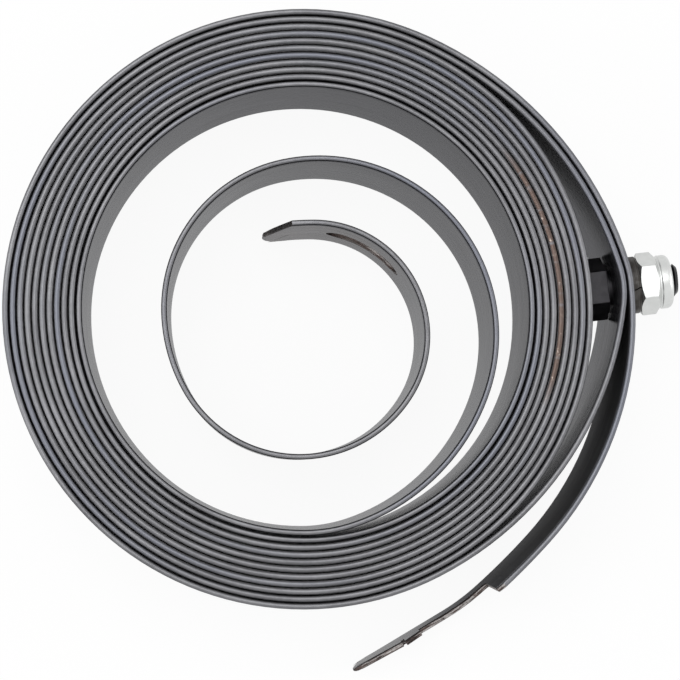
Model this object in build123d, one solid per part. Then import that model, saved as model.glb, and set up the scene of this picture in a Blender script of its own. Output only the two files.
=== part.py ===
from build123d import *
import math
import os

# Constant force spring: one long flat steel strip, coiled, lying on its lower edge.
# Its two outermost turns bulge over the head of an M8 bolt that clamps them together.
# Millimetres. The Z axis is the coil's axis, and +Z runs up the strip's width.
# The strip's centre line is travelled clockwise, seen from +Z, from its inner end to its outer
# end. Each run of it is an arc (radius, degrees) or a flat (length), tangent to its neighbours.

# Strip section and coil
strip_width = 35.0
strip_thickness = 1.2
turn_gap = 0.48
coil_start_radius = 51.66
coil_half_turns = 19

# Loose inner loops, from the inner end out to the coil: radius, degrees
inner_loops = [
    (86.6, 7.4), (26.1, 87.1), (25.7, 34.8), (30.0, 120.0), (38.6, 27.9),
    (34.5, 79.0), (40.6, 120.7), (48.7, 53.2), (35.8, 18.6),
]

# Inner end: sheared aslant down to a rounded tip, and a slot that hooks on the arbor
slant_length = 6.7
slant_height = 14.0
tip_radius = 6.0
slot_length = 20.6
slot_width = 9.0
slot_setback = 15.2

# Bulge over the bolt head, in degrees travelled, with a round crest that the bolt passes through.
# The head bears on the crest's flanks, so its face stands back from the crest by head_drop.
lead_in = 48.4
seat_tilt = 6.8
crest_radius = 21.5
crest_exit = 13.2
lead_out = 56.6
head_drop = 0.9
head_room = 0.68

# Tail past the bolt: the bend out of the seat, its arcs, and the straight end
tail_bend = 1.0
tail_arcs = [(76.5, 48.4), (178.0, 5.7), (55.0, 11.0)]
tail_straight = 25.6

# Tongue at the outer end, measured along the strip from its shoulder
tongue_length = 38.0
shoulder_chamfer = 2.0
root_radius = 1.5
neck_length = 19.6
neck_height = 9.0
tooth_length = 4.3
tooth_height = 15.5
tooth_slope = 2.5
notch_width = 0.8
notch_depth = 3.0
tongue_height = 13.5
nose_height = 8.0
nose_upper_radius = 2.5
nose_lower_radius = 5.0

# M8 hexagon bolt, and M8 lock nut with a nylon insert
thread_diameter = 8.0
thread_root_diameter = 6.5
hex_across_flats = 13.0
hex_chamfer_angle = 30.0
hex_face_share = 0.95
bolt_length = 16.0
bolt_head_height = 5.3
bearing_diameter = 11.6
bearing_step = 0.4
nut_height = 8.0
nut_hex_height = 5.9
collar_diameter = 12.2
collar_bevel = 0.9
lip_diameter = 9.4
lip_thickness = 0.6
insert_diameter = 10.6
insert_height = 1.8

# Washers between the outer band and the nut
washer_diameter = 14.0
washer_thickness = 1.6
lock_washer_diameter = 13.6
lock_washer_thickness = 2.0
split_width = 1.0
split_slant = 20.0
split_turn = 12.0

# Radial clearances on the thread
strip_hole_clearance = 0.5
washer_clearance = 0.2
thread_clearance = 0.05

pitch = strip_thickness + turn_gap
half_thickness = strip_thickness / 2
mid_width = strip_width / 2
thread_radius = thread_diameter / 2


# Poses on the strip's centre line: x, y and the heading in degrees

def direction(angle):
    return math.cos(math.radians(angle)), math.sin(math.radians(angle))


def beside(pose, offset):
    # A point to the left of travel, which is the coil's outside
    x, y, heading = pose
    along_x, along_y = direction(heading)
    return x - offset * along_y, y + offset * along_x


def after_arc(pose, radius, sweep):
    centre_x, centre_y = beside(pose, -radius)
    heading = pose[2] - sweep
    along_x, along_y = direction(heading)
    return centre_x - radius * along_y, centre_y + radius * along_x, heading


def after_flat(pose, length):
    x, y, heading = pose
    along_x, along_y = direction(heading)
    return x + length * along_x, y + length * along_y, heading


def after_run(pose, run):
    return after_flat(pose, *run) if len(run) == 1 else after_arc(pose, *run)


def after_runs(pose, runs):
    for run in runs:
        pose = after_run(pose, run)
    return pose


def half_of(run):
    return (run[0] / 2,) if len(run) == 1 else (run[0], run[1] / 2)


# Runs of the strip

def coil_radius(half_turn):
    # The coil is struck from two centres, and each half turn is half a pitch larger
    return coil_start_radius + half_turn * pitch / 2


def arc_chord(heading, sweep):
    # Travel along a clockwise arc of unit radius
    start_x, start_y = direction(heading)
    end_x, end_y = direction(heading - sweep)
    return start_y - end_y, end_x - start_x


def bulged_half_turn(start, radius, crest):
    # Lead-in and lead-out get the radii that bring the half turn back onto the coil
    seat_heading = seat_tilt - 90
    crest_entry = -seat_heading - start - lead_in
    in_x, in_y = arc_chord(-start, lead_in)
    out_x, out_y = arc_chord(seat_heading - crest_exit, lead_out)
    crest_x, crest_y = arc_chord(seat_heading + crest_entry, crest_entry + crest_exit)
    short_x = (radius - crest) * crest_x
    short_y = (radius - crest) * crest_y
    cross = in_x * out_y - in_y * out_x
    lead_in_radius = radius + (short_x * out_y - short_y * out_x) / cross
    lead_out_radius = radius + (in_x * short_y - in_y * short_x) / cross
    rest = 180 + seat_heading - crest_exit - lead_out
    return [
        (radius, start), (lead_in_radius, lead_in), (crest, crest_entry),
        (crest, crest_exit), (lead_out_radius, lead_out), (radius, rest),
    ]


coil_start = (0.0, pitch / 4 - coil_start_radius, 180.0)
inner_end = coil_start
for loop_radius, loop_sweep in reversed(inner_loops):
    inner_end = after_arc(inner_end, loop_radius, -loop_sweep)

coil_runs = [(coil_radius(half_turn), 180.0) for half_turn in range(coil_half_turns)]
bulge_pose = after_runs(coil_start, coil_runs)


def inner_band(start):
    return bulged_half_turn(start, coil_radius(coil_half_turns), crest_radius)


def outer_band(start):
    radius = coil_radius(coil_half_turns) + pitch
    return bulged_half_turn(start, radius, crest_radius + pitch)


def seat_pose(start):
    return after_runs(bulge_pose, inner_band(start)[:3])


def room_under_head(start):
    # From the bolt head to the turn of the coil that it faces, along the bolt
    pose = seat_pose(start)
    out_x, out_y = direction(pose[2] + 90)
    seat_reach = (pose[0] * out_x + (pose[1] + pitch / 4) * out_y) - half_thickness
    head_reach = seat_reach - head_drop - bolt_head_height
    return head_reach - coil_radius(coil_half_turns - 2) - half_thickness


def bulge_start_angle():
    # The earlier the bulge starts, the more room it leaves
    early = 10.0
    late = 45.0
    for _ in range(40):
        middle = (early + late) / 2
        if room_under_head(middle) > head_room:
            early = middle
        else:
            late = middle
    return early


bulge_start = bulge_start_angle()
runs = inner_loops + coil_runs + inner_band(bulge_start)
runs += [(coil_radius(coil_half_turns + 1), 180.0)]
runs += outer_band(bulge_start)[:3] + [(crest_radius + pitch, tail_bend)]
runs += tail_arcs + [(tail_straight,)]
outer_end = after_runs(inner_end, runs)


def frame_at(pose, height=0.0):
    # X along the strip, Y up its width, Z through its thickness towards the coil's inside
    x, y, heading = pose
    along_x, along_y = direction(heading)
    return Plane(origin=(x, y, height), x_dir=(along_x, along_y, 0), z_dir=(along_y, -along_x, 0))


def pose_on_loops(distance):
    pose = inner_end
    for radius, sweep in inner_loops:
        if distance <= radius * math.radians(sweep):
            return after_arc(pose, radius, math.degrees(distance / radius))
        pose = after_arc(pose, radius, sweep)
        distance -= radius * math.radians(sweep)


# The coiled strip

def side_edge(pose, run, offset):
    start = beside(pose, offset)
    end = beside(after_run(pose, run), offset)
    if len(run) == 1:
        return Edge.make_line(start, end)
    middle = beside(after_run(pose, half_of(run)), offset)
    return Edge.make_three_point_arc(start, middle, end)


def end_edge(pose):
    return Edge.make_line(beside(pose, -half_thickness), beside(pose, half_thickness))


def coiled_strip():
    pose = inner_end
    edges = [end_edge(pose)]
    for run in runs:
        edges.append(side_edge(pose, run, half_thickness))
        edges.append(side_edge(pose, run, -half_thickness))
        pose = after_run(pose, run)
    edges.append(end_edge(pose))
    return extrude(make_face(edges), strip_width)


def through_strip(profile, frame, reach=4.0):
    return extrude(frame * profile, reach, both=True)


def rounded(face, corner, radius):
    return fillet(face.vertices().sort_by_distance(corner)[0], radius)


def tip_waste():
    # Sheared off the inner end, to leave a slanting edge and a rounded tip
    overrun = 4.0
    far = slant_length + overrun
    kept = make_face(Polyline(
        (far, 0), (0, 0), (0, slant_height), (slant_length, strip_width),
        (slant_length, strip_width + overrun), (far, strip_width + overrun), close=True))
    kept = rounded(kept, (0, 0), tip_radius)
    kept = rounded(kept, (0, slant_height), tip_radius)
    blank = Rectangle(far + overrun, strip_width + 2 * overrun, align=Align.MIN)
    return through_strip(Pos(-overrun, -overrun) * blank - kept, frame_at(inner_end))


def hook_slot():
    # Round-ended, and cut square to the curved strip all along
    end_radius = slot_width / 2
    near = frame_at(pose_on_loops(slot_setback + end_radius), mid_width)
    middle = frame_at(pose_on_loops(slot_setback + slot_length / 2), mid_width)
    far = frame_at(pose_on_loops(slot_setback + slot_length - end_radius), mid_width)
    straight = through_strip(Rectangle(slot_length - slot_width, slot_width), middle)
    return straight + [through_strip(Circle(end_radius), frame) for frame in (near, far)]


def tongue_waste():
    # Cut away at the outer end, to leave a toothed tongue along the lower edge
    overrun = 4.0
    top = strip_width + overrun
    tooth_end = neck_length + tooth_length
    notch_height = tongue_height - notch_depth
    kept = make_face(Polyline(
        (-overrun, 0), (-overrun, top), (-shoulder_chamfer, top), (-shoulder_chamfer, strip_width),
        (0, strip_width - shoulder_chamfer), (0, neck_height), (neck_length, neck_height),
        (neck_length, tooth_height - tooth_slope), (tooth_end, tooth_height),
        (tooth_end, notch_height), (tooth_end + notch_width, notch_height),
        (tooth_end + notch_width, tongue_height), (tongue_length, nose_height),
        (tongue_length, 0), close=True))
    kept = rounded(kept, (0, neck_height), root_radius)
    kept = rounded(kept, (tongue_length, nose_height), nose_upper_radius)
    kept = rounded(kept, (tongue_length, 0), nose_lower_radius)
    blank = Rectangle(tongue_length + 2 * overrun, top + overrun, align=Align.MIN)
    shoulder = frame_at(after_flat(outer_end, -tongue_length))
    return through_strip(Pos(-overrun, -overrun) * blank - kept, shoulder, reach=8.0)


def bolt_seat():
    # On the inner band's inner face at mid width: X against the strip, Y up, Z out along the bolt
    pose = seat_pose(bulge_start)
    along_x, along_y = direction(pose[2])
    origin = (*beside(pose, -half_thickness), mid_width)
    return Plane(origin=origin, x_dir=(-along_x, -along_y, 0), z_dir=(-along_y, along_x, 0))


seat_face = bolt_seat()


def on_seat(height):
    return seat_face.offset(height)


def spring_strip():
    strip = coiled_strip() - tip_waste() - hook_slot() - tongue_waste()
    hole = Circle(thread_radius + strip_hole_clearance)
    return strip - extrude(on_seat(-head_drop) * hole, head_drop + 2 * pitch)


# Bolt, washers and nut, each from its seat outwards

def hexagon(height):
    return extrude(RegularPolygon(hex_across_flats / 2, 6, major_radius=False), height)


def chamfer_cone(face_height, depth):
    # Keeps what lies below a cone that meets the end face inside the flats
    face_radius = hex_face_share * hex_across_flats / 2
    rise = math.tan(math.radians(hex_chamfer_angle))
    cone_height = face_height + face_radius * rise
    profile = make_face(Polyline(
        (0, face_height - depth), (hex_across_flats, face_height - depth),
        (hex_across_flats, cone_height - hex_across_flats * rise), (face_radius, face_height),
        (0, face_height), close=True))
    return revolve(Plane.XZ * profile, Axis.Z)


def hex_bolt():
    head = hexagon(bolt_head_height - bearing_step)
    head &= chamfer_cone(bolt_head_height - bearing_step, bolt_head_height)
    head = Pos(0, 0, -head_drop - bearing_step) * Rot(180, 0, 0) * head
    bearing = Pos(0, 0, -head_drop - bearing_step) * extrude(Circle(bearing_diameter / 2), bearing_step)
    thread_chamfer = (thread_diameter - thread_root_diameter) / 2
    shank = Pos(0, 0, -head_drop) * extrude(Circle(thread_radius), bolt_length + head_drop)
    shank = chamfer(shank.edges().sort_by(Axis.Z)[-1], thread_chamfer)
    return head + bearing + shank


def flat_washer():
    ring = Circle(washer_diameter / 2) - Circle(thread_radius + washer_clearance)
    return extrude(ring, washer_thickness)


def lock_washer():
    ring = Circle(lock_washer_diameter / 2) - Circle(thread_radius + washer_clearance)
    split = Box(split_width, lock_washer_diameter, 4 * lock_washer_thickness,
                align=(Align.CENTER, Align.MIN, Align.CENTER))
    split = Pos(0, 0, lock_washer_thickness / 2) * Rot(0, 0, split_turn) * Rot(0, split_slant, 0) * split
    return extrude(ring, lock_washer_thickness) - split


def lock_nut():
    collar_radius = collar_diameter / 2
    bore_radius = thread_radius + thread_clearance
    cavity_top = nut_height - lip_thickness
    cavity_floor = cavity_top - insert_height
    hexed = hexagon(nut_hex_height) & chamfer_cone(nut_hex_height, nut_hex_height)
    low_cone = Pos(0, 0, nut_hex_height) * Rot(180, 0, 0) * chamfer_cone(nut_hex_height, nut_hex_height)
    collar = extrude(Circle(collar_radius), nut_height)
    collar = chamfer(collar.edges().sort_by(Axis.Z)[-1], collar_bevel)
    nut = (hexed & low_cone) + collar
    nut -= extrude(Circle(bore_radius), nut_height)
    nut -= Pos(0, 0, cavity_floor) * extrude(Circle(insert_diameter / 2), insert_height)
    return nut - Pos(0, 0, cavity_top) * extrude(Circle(lip_diameter / 2), lip_thickness)


def nylon_insert():
    ring = Circle(insert_diameter / 2) - Circle(thread_radius + thread_clearance)
    return extrude(ring, insert_height)


washer_seat = pitch + strip_thickness
lock_washer_seat = washer_seat + washer_thickness
nut_seat = lock_washer_seat + lock_washer_thickness
insert_seat = nut_seat + nut_height - lip_thickness - insert_height

parts = {
    "spring_strip": spring_strip(),
    "hex_bolt": seat_face * hex_bolt(),
    "flat_washer": on_seat(washer_seat) * flat_washer(),
    "lock_washer": on_seat(lock_washer_seat) * lock_washer(),
    "lock_nut": on_seat(nut_seat) * lock_nut(),
    "nylon_insert": on_seat(insert_seat) * nylon_insert(),
}

os.makedirs("parts", exist_ok=True)
for name, shape in parts.items():
    export_step(shape, f"parts/{name}.step")
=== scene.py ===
import bmesh
import bpy
import math
from mathutils import Matrix, Vector


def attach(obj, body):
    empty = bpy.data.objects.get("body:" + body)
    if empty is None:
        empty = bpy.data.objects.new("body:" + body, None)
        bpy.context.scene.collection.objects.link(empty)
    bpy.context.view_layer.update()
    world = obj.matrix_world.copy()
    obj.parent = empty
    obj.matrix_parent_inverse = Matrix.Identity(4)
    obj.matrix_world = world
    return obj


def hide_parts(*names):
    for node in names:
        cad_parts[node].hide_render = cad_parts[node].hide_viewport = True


# A coiled strip spring standing on its edge, with the bolt, washers and lock nut that clamp its outer turns.
# Sizes are in millimetres and degrees, apart from the stage's and the bumps' depths, which are in metres.
# Meshes are made in metres, in the frame's own place.

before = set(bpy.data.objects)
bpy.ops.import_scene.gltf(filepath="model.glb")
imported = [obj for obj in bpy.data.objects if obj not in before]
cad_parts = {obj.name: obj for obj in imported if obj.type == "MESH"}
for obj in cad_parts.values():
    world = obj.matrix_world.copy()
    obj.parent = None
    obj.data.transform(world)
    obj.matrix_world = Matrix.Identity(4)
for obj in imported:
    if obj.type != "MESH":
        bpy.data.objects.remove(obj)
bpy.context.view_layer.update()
print("frame loaded:", ", ".join(sorted(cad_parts)))

mm = 0.001
material = {}  # filled by the finishes below, one entry for each


# small helpers for node trees and meshes

def addNode(tree, kind, settings=None, values=None):
    node = tree.nodes.new(kind)
    for name, value in (settings or {}).items():
        setattr(node, name, value)
    for name, value in (values or {}).items():
        node.inputs[name].default_value = value
    return node


def joinNodes(tree, *pairs):
    for source, target in pairs:
        tree.links.new(source, target)


def newObject(name, mesh):
    made = bpy.data.objects.new(name, mesh)
    bpy.context.scene.collection.objects.link(made)
    return made


def meshFromBmesh(name, work):
    mesh = bpy.data.meshes.new(name)
    work.to_mesh(mesh)
    work.free()
    return mesh


def thicken(work, faces, offset, **settings):
    grown = bmesh.ops.extrude_face_region(work, geom=faces, **settings)
    corners = [item for item in grown["geom"] if isinstance(item, bmesh.types.BMVert)]
    bmesh.ops.translate(work, vec=offset, verts=corners)
    bmesh.ops.recalc_face_normals(work, faces=work.faces)


def settle(piece):
    # bakes the modifiers into a plain mesh
    graph = bpy.context.evaluated_depsgraph_get()
    baked = bpy.data.meshes.new_from_object(piece.evaluated_get(graph))
    piece.modifiers.clear()
    old = piece.data
    piece.data = baked
    bpy.data.meshes.remove(old)
    return piece


def addModifier(piece, kind, **settings):
    modifier = piece.modifiers.new(kind.title(), kind)
    for name, value in settings.items():
        setattr(modifier, name, value)
    return modifier


def cutWith(piece, cutter, operation="DIFFERENCE"):
    addModifier(piece, "BOOLEAN", operation=operation, solver="EXACT", object=cutter)
    settle(piece)
    bpy.data.objects.remove(cutter)
    return piece


def smoothFaces(piece, sharpAngle):
    piece.data.polygons.foreach_set("use_smooth", [True] * len(piece.data.polygons))
    piece.data.set_sharp_from_angle(angle=math.radians(sharpAngle))
    addModifier(piece, "WEIGHTED_NORMAL", keep_sharp=True)
    settle(piece)


def setMaterials(piece, *finishes):
    if piece.data.materials:  # a clear puts every face back on the first slot
        piece.data.materials.clear()
    for finish in finishes:
        piece.data.materials.append(finish)


def newTree(name, inputs):
    # a Geometry Nodes tree with one named input for each size
    tree = bpy.data.node_groups.new(name, "GeometryNodeTree")
    for label, kind in inputs.items():
        tree.interface.new_socket(label, in_out="INPUT", socket_type="NodeSocket" + kind)
    tree.interface.new_socket("Geometry", in_out="OUTPUT", socket_type="NodeSocketGeometry")
    return tree, addNode(tree, "NodeGroupInput"), addNode(tree, "NodeGroupOutput")


def runTree(piece, tree, values):
    modifier = piece.modifiers.new(tree.name, "NODES")
    modifier.node_group = tree
    for item in tree.interface.items_tree:
        if item.item_type == "SOCKET" and item.in_out == "INPUT" and item.name in values:
            modifier[item.identifier] = values[item.name]
    return settle(piece)


# the strip's centre line, travelled clockwise seen from above, from its inner end to its outer end

strip = {
    "width": 35.0,
    "thickness": 1.2,
    "scaleDepth": 0.05,       # mill scale on each face, which brings the turns that much closer
    "turnGap": 0.48,
    "edgeRadius": 0.56,       # the rolled long edges
    "edgeSegments": 5,
    "shearedRadius": 0.10,    # the cut edges of the ends
    "coilStartRadius": 51.66,
    "coilHalfTurns": 19,
    # loose loops, as (radius, degrees)
    "innerLoops": [(86.6, 7.4), (26.1, 87.1), (25.7, 34.8), (30.0, 120.0), (38.6, 27.9),
                   (34.5, 79.0), (40.6, 120.7), (48.7, 53.2), (35.8, 18.6)],
    # the bulge over the bolt head, with a round crest
    "leadIn": 48.4,
    "seatTilt": 6.8,
    "crestRadius": 21.5,
    "crestExit": 13.2,
    "leadOut": 56.6,
    "boltHead": 5.3,
    "headDrop": 0.9,
    "headRoom": 0.68,
    "bulgeStartRange": (10.0, 45.0),
    "halvings": 40,
    "tailBend": 1.0,
    "tailArcs": [(76.5, 48.4), (178.0, 5.7), (55.0, 11.0)],
    "tailStraight": 25.6,
    "degreesPerStep": 2.5,
    "flatStep": 1.5,
    "weldDistance": 0.03,
    "sharpAngle": 35.0,
}
pitch = strip["thickness"] + strip["turnGap"]
halfThickness = strip["thickness"] / 2
drawnThickness = strip["thickness"] + 2 * strip["scaleDepth"]
midWidth = strip["width"] / 2


def heading(angle):
    return math.cos(math.radians(angle)), math.sin(math.radians(angle))


def beside(pose, offset):
    # a point to the left of travel, which is the coil's outside
    x, y, angle = pose
    alongX, alongY = heading(angle)
    return x - offset * alongY, y + offset * alongX


def afterArc(pose, radius, sweep):
    centreX, centreY = beside(pose, -radius)
    angle = pose[2] - sweep
    alongX, alongY = heading(angle)
    return centreX - radius * alongY, centreY + radius * alongX, angle


def afterRun(pose, run, share=1.0):
    if len(run) == 2:
        return afterArc(pose, run[0], run[1] * share)
    alongX, alongY = heading(pose[2])
    return pose[0] + run[0] * share * alongX, pose[1] + run[0] * share * alongY, pose[2]


def afterRuns(pose, runs):
    for run in runs:
        pose = afterRun(pose, run)
    return pose


def runLength(run):
    return run[0] if len(run) == 1 else run[0] * math.radians(run[1])


def coilRadius(halfTurn):
    return strip["coilStartRadius"] + halfTurn * pitch / 2


def arcChord(angle, sweep):
    startX, startY = heading(angle)
    endX, endY = heading(angle - sweep)
    return startY - endY, endX - startX


def bulgedHalfTurn(start, radius, crest):
    # the two flanks get the radii that bring the half turn back onto the coil
    seatAngle = strip["seatTilt"] - 90
    crestEntry = -seatAngle - start - strip["leadIn"]
    crestExit = strip["crestExit"]
    inX, inY = arcChord(-start, strip["leadIn"])
    outX, outY = arcChord(seatAngle - crestExit, strip["leadOut"])
    crestX, crestY = arcChord(seatAngle + crestEntry, crestEntry + crestExit)
    shortX = (radius - crest) * crestX
    shortY = (radius - crest) * crestY
    cross = inX * outY - inY * outX
    leadInRadius = radius + (shortX * outY - shortY * outX) / cross
    leadOutRadius = radius + (inX * shortY - inY * shortX) / cross
    rest = 180 + seatAngle - crestExit - strip["leadOut"]
    return [(radius, start), (leadInRadius, strip["leadIn"]), (crest, crestEntry), (crest, crestExit),
            (leadOutRadius, strip["leadOut"]), (radius, rest)]


coilStart = (0.0, pitch / 4 - strip["coilStartRadius"], 180.0)
innerEnd = coilStart
for loopRadius, loopSweep in reversed(strip["innerLoops"]):
    innerEnd = afterArc(innerEnd, loopRadius, -loopSweep)
coilRuns = [(coilRadius(halfTurn), 180.0) for halfTurn in range(strip["coilHalfTurns"])]
bulgePose = afterRuns(coilStart, coilRuns)


def innerBand(start):
    return bulgedHalfTurn(start, coilRadius(strip["coilHalfTurns"]), strip["crestRadius"])


def outerBand(start):
    return bulgedHalfTurn(start, coilRadius(strip["coilHalfTurns"]) + pitch, strip["crestRadius"] + pitch)


def seatMiddle(start):
    return afterRuns(bulgePose, innerBand(start)[:3])


def roomUnderHead(start):
    pose = seatMiddle(start)
    outX, outY = heading(pose[2] + 90)
    reach = pose[0] * outX + (pose[1] + pitch / 4) * outY - halfThickness
    coilReach = coilRadius(strip["coilHalfTurns"] - 2)
    return reach - strip["headDrop"] - strip["boltHead"] - coilReach - halfThickness


def bulgeStartAngle():
    # halves the range down to the angle that leaves the bolt head its room
    early, late = strip["bulgeStartRange"]
    for _ in range(strip["halvings"]):
        middle = (early + late) / 2
        if roomUnderHead(middle) > strip["headRoom"]:
            early = middle
        else:
            late = middle
    return early


bulgeStart = bulgeStartAngle()
toInnerSeat = strip["innerLoops"] + coilRuns + innerBand(bulgeStart)[:3]
betweenSeats = innerBand(bulgeStart)[3:] + [(coilRadius(strip["coilHalfTurns"] + 1), 180.0)]
betweenSeats += outerBand(bulgeStart)[:3]
tail = [(strip["crestRadius"] + pitch, strip["tailBend"])] + strip["tailArcs"] + [(strip["tailStraight"],)]
runs = toInnerSeat + betweenSeats + tail
innerSeatDistance = sum(runLength(run) for run in toInnerSeat)
outerSeatDistance = sum(runLength(run) for run in toInnerSeat + betweenSeats)
stripLength = sum(runLength(run) for run in runs)


def poseAlong(distance):
    # the pose at a distance from the inner end
    pose = innerEnd
    for run in runs:
        length = runLength(run)
        if distance <= length:
            return afterRun(pose, run, distance / length)
        pose = afterRun(pose, run)
        distance -= length
    return pose


def stepsAlong(first, last):
    # distances along the strip, close enough together for every arc to look round
    stops = [first, last]
    start = 0.0
    for run in runs:
        length = runLength(run)
        count = math.ceil(run[1] / strip["degreesPerStep"] if len(run) == 2 else length / strip["flatStep"])
        stops += [start + length * step / count for step in range(count)]
        start += length
    return [stop for stop in sorted(stops) if first <= stop <= last]


# the coil: a rolled section swept along the centre line by Geometry Nodes

ends = {
    "innerStretch": 46.0,     # how much of the strip each cut end takes
    "outerStretch": 54.0,
    "seamOverrun": 1.0,
    "slantLength": 6.7,
    "slantHeight": 14.0,
    "tipRadius": 6.0,
    "slotLength": 20.6,
    "slotWidth": 9.0,
    "slotSetback": 15.2,
    "tongueLength": 38.0,
    "shoulderChamfer": 2.0,
    "rootRadius": 1.5,
    "neckLength": 19.6,
    "neckHeight": 9.0,
    "toothLength": 4.3,
    "toothHeight": 15.5,
    "toothSlope": 2.5,
    "notchWidth": 0.8,
    "notchDepth": 3.0,
    "tongueHeight": 13.5,
    "noseHeight": 8.0,
    "noseUpperRadius": 2.5,
    "noseLowerRadius": 5.0,
    "tipReach": 2.6,          # the tips are beaten thin and round
    "tipThickness": 0.35,
    "tipColumns": (0.1, 0.3, 0.6, 0.9, 1.4, 2.0),
    "cornerSteps": 8,
    "columnStep": 1.2,
    "seamMargin": 0.1,
    "slack": 0.001,           # too small to show
}


def sweepTree():
    tree, given, result = newTree("rolledStripSweep", {
        "Geometry": "Geometry", "Strip Width": "Float", "Strip Thickness": "Float", "Edge Radius": "Float",
        "Edge Segments": "Int", "Material": "Material",
    })
    path = addNode(tree, "GeometryNodeMeshToCurve")
    upright = addNode(tree, "GeometryNodeSetCurveNormal", {"mode": "Z_UP"})
    section = addNode(tree, "GeometryNodeCurvePrimitiveQuadrilateral")
    rolled = addNode(tree, "GeometryNodeFilletCurve", {"mode": "POLY"})
    sweep = addNode(tree, "GeometryNodeCurveToMesh")
    realize = addNode(tree, "GeometryNodeRealizeInstances")
    finish = addNode(tree, "GeometryNodeSetMaterial")
    joinNodes(
        tree,
        (given.outputs["Geometry"], path.inputs["Mesh"]),
        (path.outputs["Curve"], upright.inputs["Curve"]),
        (given.outputs["Strip Thickness"], section.inputs["Width"]),
        (given.outputs["Strip Width"], section.inputs["Height"]),
        (section.outputs["Curve"], rolled.inputs["Curve"]),
        (given.outputs["Edge Radius"], rolled.inputs["Radius"]),
        (given.outputs["Edge Segments"], rolled.inputs["Count"]),
        (upright.outputs["Curve"], sweep.inputs["Curve"]),
        (rolled.outputs["Curve"], sweep.inputs["Profile Curve"]),
        (sweep.outputs["Mesh"], realize.inputs["Geometry"]),
        (realize.outputs["Geometry"], finish.inputs["Geometry"]),
        (given.outputs["Material"], finish.inputs["Material"]),
        (finish.outputs["Geometry"], result.inputs["Geometry"]),
    )
    return tree


def sweptCoil():
    stops = stepsAlong(ends["innerStretch"], stripLength - ends["outerStretch"])
    line = bpy.data.meshes.new("coilLine")
    points = []
    for stop in stops:
        x, y, _ = poseAlong(stop)
        points.append((x * mm, y * mm, midWidth * mm))
    line.from_pydata(points, [(index, index + 1) for index in range(len(points) - 1)], [])
    along = line.attributes.new("along", "FLOAT", "POINT")
    along.data.foreach_set("value", stops)
    return runTree(newObject("springStrip", line), sweepTree(), {
        "Strip Width": strip["width"] * mm,
        "Strip Thickness": drawnThickness * mm,
        "Edge Radius": strip["edgeRadius"] * mm,
        "Edge Segments": strip["edgeSegments"],
        "Material": material["springSteel"],
    })


# the two ends: flat blanks sheared to outline, edges broken, then bent along the centre line

def roundedOutline(corners):
    # each corner is (x, y, radius), and a radius makes it an arc
    points = []
    count = len(corners)
    for index, (x, y, radius) in enumerate(corners):
        here = Vector((x, y))
        if radius == 0:
            points.append(here)
            continue
        back = (Vector(corners[index - 1][:2]) - here).normalized()
        ahead = (Vector(corners[(index + 1) % count][:2]) - here).normalized()
        half = back.angle(ahead) / 2
        centre = here + (back + ahead).normalized() * radius / math.sin(half)
        first = here + back * radius / math.tan(half) - centre
        last = here + ahead * radius / math.tan(half) - centre
        turn = first.angle_signed(last)
        for step in range(ends["cornerSteps"] + 1):
            points.append(centre + Matrix.Rotation(-turn * step / ends["cornerSteps"], 2) @ first)
    return points


def cutAcross(work, at, side=1, clear=False):
    bmesh.ops.bisect_plane(work, geom=work.verts[:] + work.edges[:] + work.faces[:], dist=1e-5,
                           plane_co=(at, 0, 0), plane_no=(side, 0, 0), clear_outer=clear)


def sheetFromOutlines(outlines, first, last):
    # a sheet in the XZ plane, its thickness along Y, with the edges to break weighted by their radius
    work = bmesh.new()
    rims = []
    for outline in outlines:
        corners = [work.verts.new((point.x, -drawnThickness / 2, point.y)) for point in outline]
        rims += [work.edges.new((corner, corners[index - 1])) for index, corner in enumerate(corners)]
    bmesh.ops.triangle_fill(work, edges=rims, use_beauty=True, normal=(0, -1, 0))
    bmesh.ops.dissolve_limit(work, angle_limit=0.01, verts=work.verts, edges=work.edges, delimit={"NORMAL"})
    columns = math.ceil((last - first) / ends["columnStep"])
    for column in range(1, columns):
        cutAcross(work, first + (last - first) * column / columns)
    for reach in ends["tipColumns"]:
        cutAcross(work, reach if first == 0 else last - reach)
    thicken(work, work.faces[:], (0, drawnThickness, 0), use_keep_orig=True)
    weight = work.edges.layers.float.new("bevel_weight_edge")
    for side in work.faces:
        side.normal_update()
        if abs(side.normal.y) > 0.5:
            continue
        heights = {round(corner.co.z, 3) for corner in side.verts}
        rolled = heights in ({0.0}, {strip["width"]})
        side.material_index = 0 if rolled else 1
        places = [corner.co.x for corner in side.verts]
        tip = all(min(place, stripLength - place) < ends["tipReach"] for place in places)
        offCut = all(place < first - ends["slack"] or place > last + ends["slack"] for place in places)
        for edge in side.edges:
            if abs(edge.verts[0].co.y - edge.verts[1].co.y) < 1e-6 and not offCut:
                edge[weight] = 1.0 if rolled or tip else strip["shearedRadius"] / strip["edgeRadius"]
    return work


def tipTaper(reach):
    # the share of its thickness that the strip keeps this far from its end
    share = max(0.0, min(1.0, reach / ends["tipReach"]))
    return ends["tipThickness"] + (1 - ends["tipThickness"]) * math.sqrt(1 - (1 - share) ** 2)


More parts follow.
